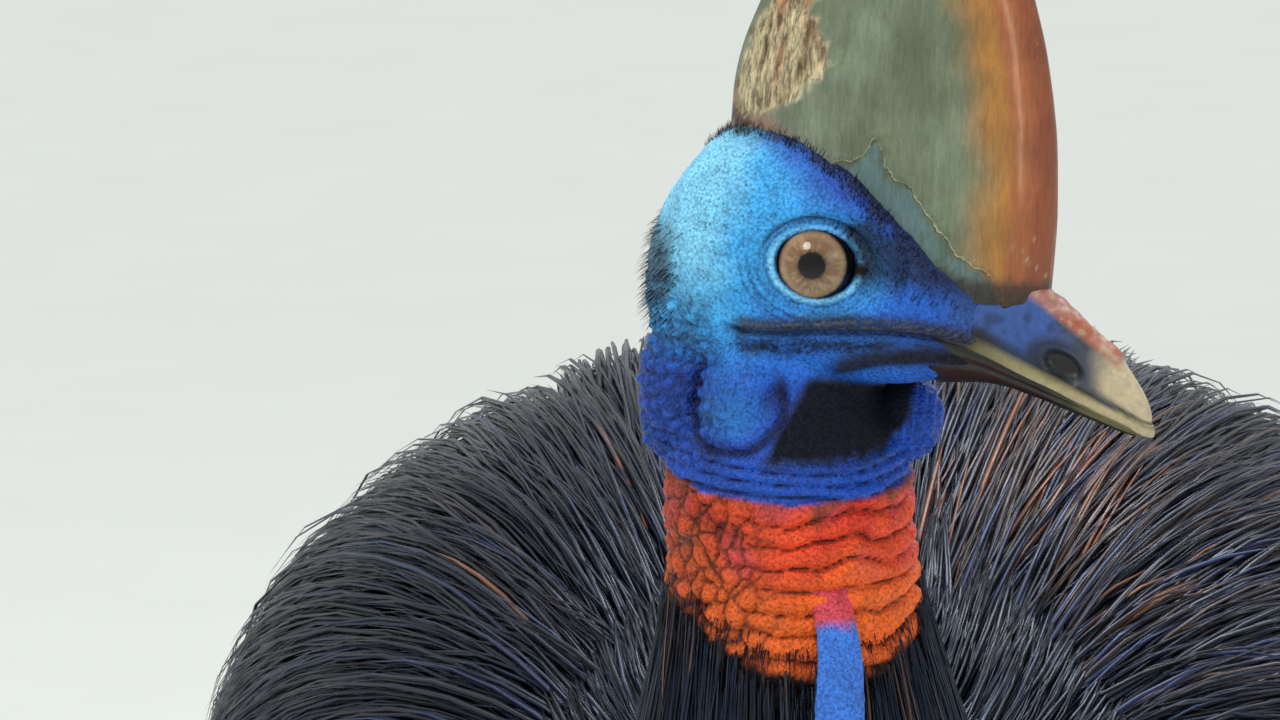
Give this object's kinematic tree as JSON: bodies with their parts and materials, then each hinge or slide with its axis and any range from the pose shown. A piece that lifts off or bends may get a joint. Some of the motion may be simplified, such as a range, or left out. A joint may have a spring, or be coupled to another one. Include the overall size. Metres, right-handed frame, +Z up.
{
  "type": "cassowary",
  "caption": "Life-size still model of a standing single-wattled cassowary, head turned to its left, with casque, bare blue and orange neck and shaggy black coat.",
  "frame": {"origin": "on the floor, under the middle of the bird's outline seen from above", "axes": "+X towards the bird's left, -Y the way its body faces, +Z up; the soles are at Z = 0"},
  "size_m": [0.5486, 0.9666, 1.2338],
  "materials": {
    "head_skin": "bare pebbled skin, cobalt to turquoise, fine wrinkles and sparse black bristles",
    "neck_skin": "bare orange-red skin in soft ring folds",
    "wattle_skin": "soft blue skin with dark dots and a pinkish root",
    "casque_horn": "fibrous olive-grey horn with an orange-brown front keel, glossy and worn",
    "bill_upper_horn": "dark horn with a pinkish ridge and a yellow-green tip",
    "bill_lower_horn": "blackish horn",
    "eye": "wet clear cornea over a tan-brown iris and a black pupil",
    "plumage": "coarse hair-like black-brown feathers with a soft gloss",
    "quill": "bare black quills",
    "leg_scale": "grey-brown scaly skin with raised front plates",
    "claw": "blackish horn"
  },
  "bodies": {
    "root": {"bill_lower": "bill_lower_horn", "bill_upper": "bill_upper_horn", "casque": "casque_horn", "claw_inner_left": "claw", "claw_inner_right": "claw", "claw_middle_left": "claw", "claw_middle_right": "claw", "claw_outer_left": "claw", "claw_outer_right": "claw", "eye_left": "eye", "eye_right": "eye", "head": "head_skin", "neck_base": "plumage", "neck_middle": "plumage", "neck_upper": "neck_skin", "rump": "plumage", "shin_left": "leg_scale", "shin_right": "leg_scale", "tarsus_left": "leg_scale", "tarsus_right": "leg_scale", "thigh_left": "plumage", "thigh_right": "plumage", "toe_inner_left": "leg_scale", "toe_inner_right": "leg_scale", "toe_middle_left": "leg_scale", "toe_middle_right": "leg_scale", "toe_outer_left": "leg_scale", "toe_outer_right": "leg_scale", "torso": "plumage", "wattle": "wattle_skin", "wing_left": "quill", "wing_right": "quill"}
  },
  "joints": []
}
